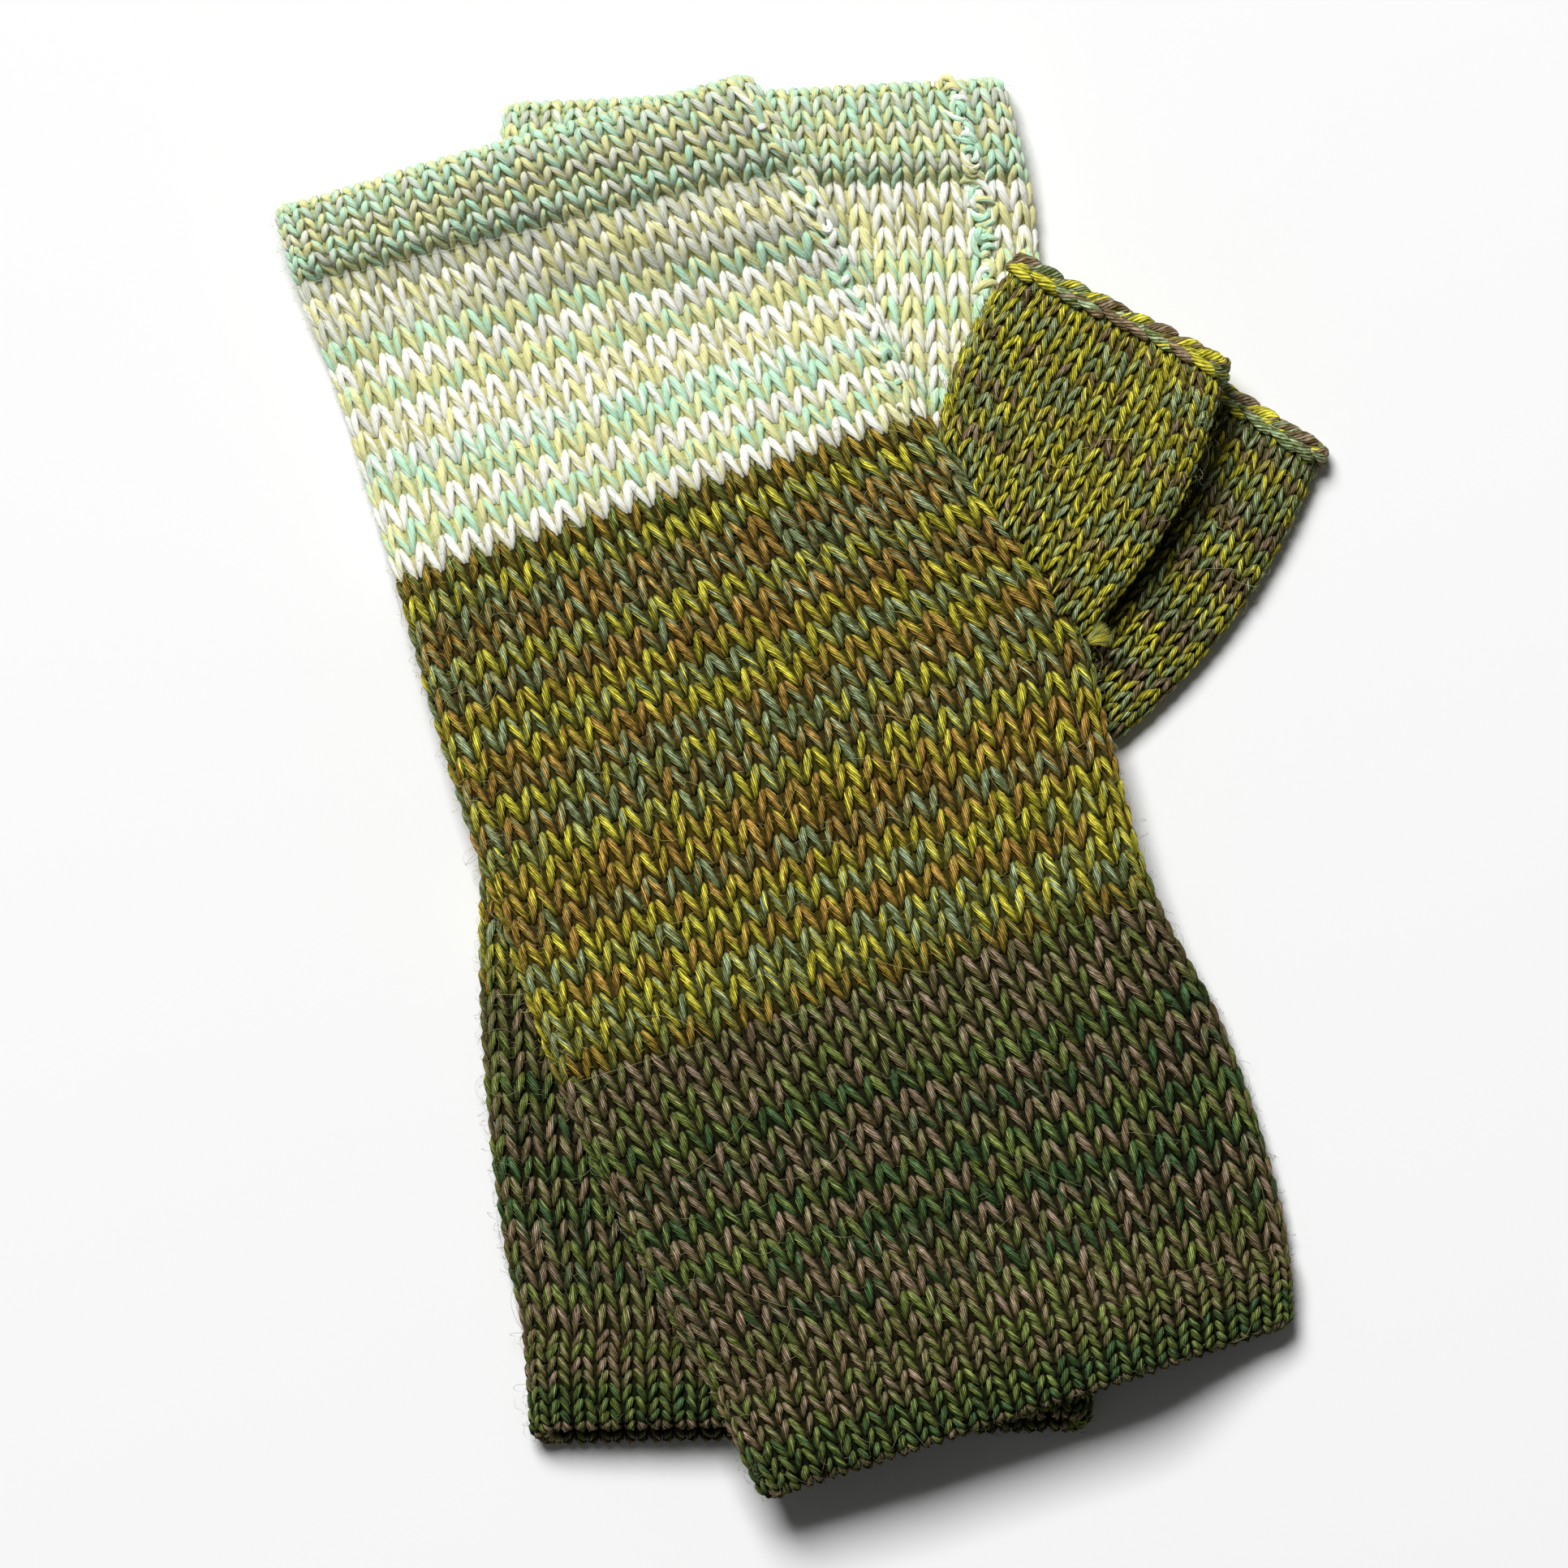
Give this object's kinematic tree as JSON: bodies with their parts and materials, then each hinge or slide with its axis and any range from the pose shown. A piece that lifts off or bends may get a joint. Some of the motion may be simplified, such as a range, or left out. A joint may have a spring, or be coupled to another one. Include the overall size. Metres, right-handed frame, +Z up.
{
  "type": "pair of fingerless mittens",
  "caption": "Fingerless mittens in striped stocking-stitch knit with turned hems and thumb tubes, laid flat, one crossed over the other.",
  "frame": {"origin": "on the surface the pair lies on, under the middle of its bounding box", "axes": "+X to the thumbs' side, +Y to the finger ends, +Z up from the surface"},
  "size_m": [0.173, 0.2343, 0.0209],
  "materials": {
    "pale_wool": "plied wool yarn in white, yellow-olive and mint, matt with a fine halo of loose fibres",
    "olive_wool": "marled wool yarn in yellow-green, ochre brown and grey teal, matt",
    "dark_wool": "marled wool yarn in taupe, forest green and moss, matt",
    "thumb_wool": "marled wool yarn in yellow-green, grey green and taupe, matt"
  },
  "bodies": {
    "root": {"under_finger_welt": "pale_wool", "under_pale_band": "pale_wool", "under_olive_band": "olive_wool", "under_dark_band": "dark_wool", "under_wrist_welt": "dark_wool", "under_thumb": "thumb_wool", "under_thumb_castoff": "thumb_wool", "under_side_seam": "pale_wool", "over_finger_welt": "pale_wool", "over_pale_band": "pale_wool", "over_olive_band": "olive_wool", "over_dark_band": "dark_wool", "over_wrist_welt": "dark_wool", "over_thumb": "thumb_wool", "over_thumb_castoff": "thumb_wool", "over_side_seam": "pale_wool", "over_yarn_tail": "thumb_wool"}
  },
  "joints": []
}
